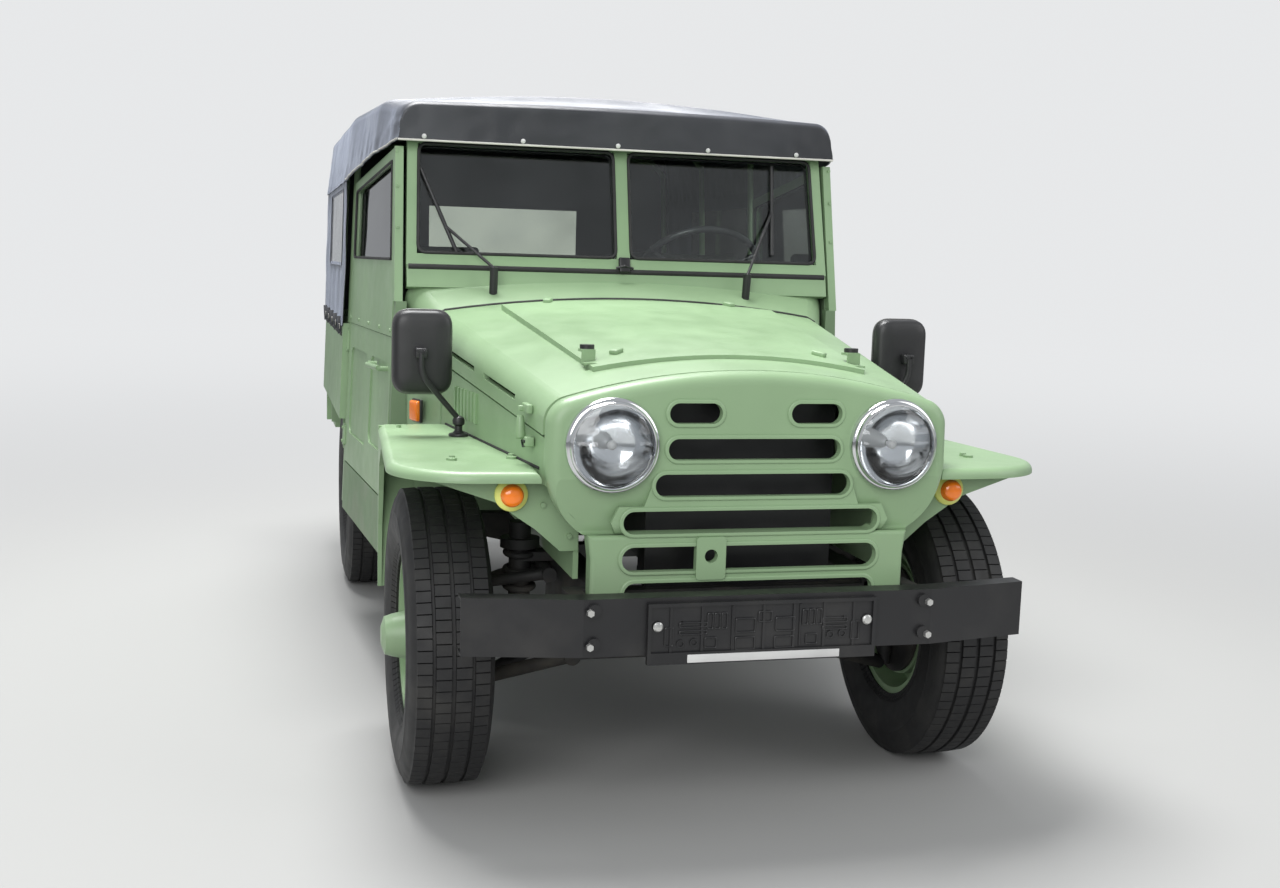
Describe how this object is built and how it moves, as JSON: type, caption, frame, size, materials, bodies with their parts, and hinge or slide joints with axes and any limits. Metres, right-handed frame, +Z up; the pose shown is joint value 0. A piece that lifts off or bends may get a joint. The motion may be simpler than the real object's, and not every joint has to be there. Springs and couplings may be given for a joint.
{
  "type": "army four-wheel-drive car",
  "caption": "Unarmed army four-wheel-drive car with a crowned bonnet, slotted grille shell, flat windscreen, steel doors and a black canvas top.",
  "frame": {"origin": "on the ground under the middle of the car's length and width", "axes": "+X to the car's left, +Y to its rear, +Z up"},
  "size_m": [1.5734, 3.64, 1.8119],
  "materials": {
    "sage_paint": "satin pale grey-green paint",
    "black_paint": "satin black paint",
    "chassis_paint": "dull black chassis paint",
    "tyre_rubber": "worn tyre rubber",
    "rubber": "black rubber",
    "engine_grey": "oily cast iron",
    "steel": "bare steel",
    "chrome": "dull chrome",
    "lamp_glass": "ribbed lamp glass",
    "pane_glass": "clear flat glass",
    "clear_vinyl": "clear soft vinyl",
    "amber_plastic": "amber lens on a pale base",
    "red_plastic": "red lens",
    "black_plastic": "matt black plastic",
    "canvas": "coated black canvas with a dull sheen",
    "seat_vinyl": "dark green coated cloth"
  },
  "bodies": {
    "car": {"canvas_top": "canvas", "canvas_windows": "clear_vinyl", "chassis_frame": "chassis_paint", "dashboard": "black_plastic", "driver_controls": "black_plastic", "engine_gearbox": "engine_grey", "exhaust": "steel", "floor_body": "sage_paint", "front_bumper": "black_paint", "front_differential": "chassis_paint", "front_fenders": "sage_paint", "front_seats": "seat_vinyl", "front_suspension": "chassis_paint", "fuel_tank": "chassis_paint", "grille_shell": "sage_paint", "headlamp_glass": "lamp_glass", "headlamp_rings": "chrome", "inner_wings": "sage_paint", "mirrors": "black_paint", "plate_holder": "black_paint", "propeller_shafts": "chassis_paint", "radiator": "black_paint", "rear_axle": "chassis_paint", "rear_benches": "seat_vinyl", "rear_lamps": "red_plastic", "rear_springs": "chassis_paint", "rear_tub": "sage_paint", "roof_bows": "sage_paint", "scuttle": "sage_paint", "side_lamps": "amber_plastic", "side_posts": "sage_paint", "spare_tyre": "tyre_rubber", "spare_wheel": "sage_paint", "tow_hook": "chassis_paint", "windscreen_frame": "sage_paint", "windscreen_glass": "pane_glass", "wipers": "black_paint"},
    "bonnet_lid": {"bonnet": "sage_paint", "bonnet_rests": "rubber"},
    "right_upright": {"knuckle_right": "chassis_paint"},
    "left_upright": {"knuckle_left": "chassis_paint"},
    "front_right_wheel": {"tyre_front_right": "tyre_rubber", "wheel_front_right": "sage_paint"},
    "front_left_wheel": {"tyre_front_left": "tyre_rubber", "wheel_front_left": "sage_paint"},
    "rear_right_wheel": {"tyre_rear_right": "tyre_rubber", "wheel_rear_right": "sage_paint"},
    "rear_left_wheel": {"tyre_rear_left": "tyre_rubber", "wheel_rear_left": "sage_paint"},
    "right_door": {"door_right": "sage_paint", "door_window_right": "pane_glass"},
    "left_door": {"door_left": "sage_paint", "door_window_left": "pane_glass"},
    "gate": {"tailgate": "sage_paint"},
    "helm": {"steering_wheel": "black_plastic"}
  },
  "joints": [
    {"name": "helm_turn", "type": "hinge", "parent": "car", "child": "helm", "pos_m": [0.33, -0.135, 1.244], "axis": [0, 0.7214, 0.6925], "range_deg": [-448, 448]},
    {"name": "right_steer", "type": "hinge", "parent": "car", "child": "right_upright", "pos_m": [-0.56, -1.23, 0.362], "axis": [0, 0, 1], "range_deg": [-28, 28]},
    {"name": "left_steer", "type": "hinge", "parent": "car", "child": "left_upright", "pos_m": [0.56, -1.23, 0.362], "axis": [0, 0, 1], "range_deg": [-28, 28]},
    {"name": "front_right_spin", "type": "hinge", "parent": "right_upright", "child": "front_right_wheel", "pos_m": [-0.642, -1.23, 0.362], "axis": [1, 0, 0], "continuous": true},
    {"name": "front_left_spin", "type": "hinge", "parent": "left_upright", "child": "front_left_wheel", "pos_m": [0.642, -1.23, 0.362], "axis": [1, 0, 0], "continuous": true},
    {"name": "rear_right_spin", "type": "hinge", "parent": "car", "child": "rear_right_wheel", "pos_m": [-0.642, 1.02, 0.362], "axis": [1, 0, 0], "continuous": true},
    {"name": "rear_left_spin", "type": "hinge", "parent": "car", "child": "rear_left_wheel", "pos_m": [0.642, 1.02, 0.362], "axis": [1, 0, 0], "continuous": true},
    {"name": "bonnet_hinge", "type": "hinge", "parent": "car", "child": "bonnet_lid", "pos_m": [0, -0.58, 1.186], "axis": [-1, 0, 0], "range_deg": [0, 62]},
    {"name": "right_door_hinge", "type": "hinge", "parent": "car", "child": "right_door", "pos_m": [-0.75083, 0.44542, 1.05008], "axis": [-0.0398, -0.0029, -0.9992], "range_deg": [0, 80]},
    {"name": "left_door_hinge", "type": "hinge", "parent": "car", "child": "left_door", "pos_m": [0.75083, 0.44542, 1.05008], "axis": [-0.0398, 0.0029, 0.9992], "range_deg": [0, 80]},
    {"name": "tailgate_hinge", "type": "hinge", "parent": "car", "child": "gate", "pos_m": [0, 1.758, 0.604], "axis": [-1, 0, 0], "range_deg": [0, 90]}
  ],
  "couplings": [
    {"joint": "right_steer", "follows": "helm_turn", "ratio": 0.0625},
    {"joint": "left_steer", "follows": "helm_turn", "ratio": 0.0625}
  ]
}
